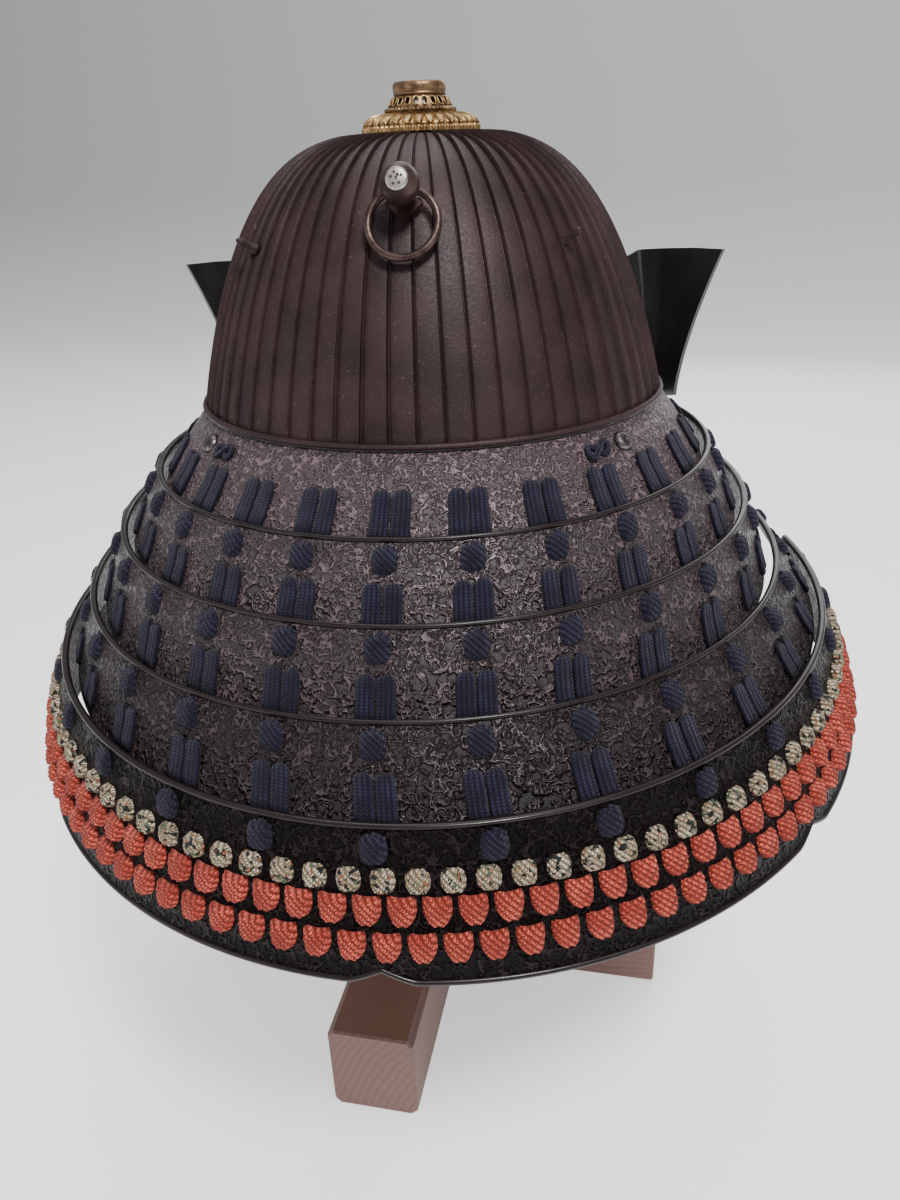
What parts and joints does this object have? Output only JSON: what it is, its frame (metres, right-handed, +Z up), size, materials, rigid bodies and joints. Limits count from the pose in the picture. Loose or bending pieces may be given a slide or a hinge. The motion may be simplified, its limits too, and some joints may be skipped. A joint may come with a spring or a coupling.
{
  "type": "samurai helmet on wooden stand",
  "caption": "Ridged iron bowl helmet with a laced lame neck guard, turned-back wings, crown ornament and badge ring, held up by a plain cross-foot wooden stand",
  "frame": {"origin": "on the underside of the stand's foot, directly below the middle of the bowl", "axes": "+Z is up, -Y is where the helmet faces, +Y is its back, +X is the wearer's left"},
  "size_m": [0.3851, 0.3753, 0.4588],
  "materials": {
    "russet_iron": "dark red-brown russeted iron plates, satin, finely pitted",
    "lame_lacquer": "dark brown-black lacquer with a raised crackled texture, semi gloss",
    "black_lacquer": "smooth black lacquer, high gloss",
    "silk_lace": "dark navy flat silk braid",
    "gilt_brass": "gilt openwork, satin, darker in the recesses",
    "bronze": "dark bronze, polished on the high places",
    "dark_silver": "dark silver, rubbed bright on top",
    "silver": "pale silver, satin",
    "stand_wood": "plain sawn wood, reddish grey-brown, matt"
  },
  "bodies": {
    "helmet": {"bowl": "russet_iron", "neck_band": "russet_iron", "peak": "black_lacquer", "crown_petal_ring": "gilt_brass", "crown_collar": "gilt_brass", "ring_post": "bronze", "ring_post_disc": "silver", "peg_back_left": "russet_iron", "peg_back_right": "russet_iron", "peg_front_left": "russet_iron", "peg_front_right": "russet_iron", "wing_left": "black_lacquer", "stud_left": "dark_silver", "tie_knot_left": "silk_lace", "wing_right": "black_lacquer", "stud_right": "dark_silver", "tie_knot_right": "silk_lace", "lame_1": "lame_lacquer", "lame_2": "lame_lacquer", "lame_3": "lame_lacquer", "lame_4": "lame_lacquer", "lame_5": "lame_lacquer", "lacing_01": "silk_lace", "lacing_02": "silk_lace", "lacing_03": "silk_lace", "lacing_04": "silk_lace", "lacing_05": "silk_lace", "lacing_06": "silk_lace", "lacing_07": "silk_lace", "lacing_08": "silk_lace", "lacing_09": "silk_lace", "lacing_10": "silk_lace", "lacing_11": "silk_lace", "lacing_12": "silk_lace", "lacing_13": "silk_lace", "lacing_14": "silk_lace", "lacing_15": "silk_lace", "lacing_16": "silk_lace", "lacing_17": "silk_lace", "stand_head": "stand_wood", "foot_beam_long": "stand_wood", "foot_beam_cross": "stand_wood", "stand_column": "stand_wood"},
    "ring": {"badge_ring": "bronze"}
  },
  "joints": [
    {"name": "ring_swing", "type": "hinge", "parent": "helmet", "child": "ring", "pos_m": [-0.0029, 0.0804, 0.4201], "axis": [1, 0, 0], "range_deg": [0, 120]}
  ]
}
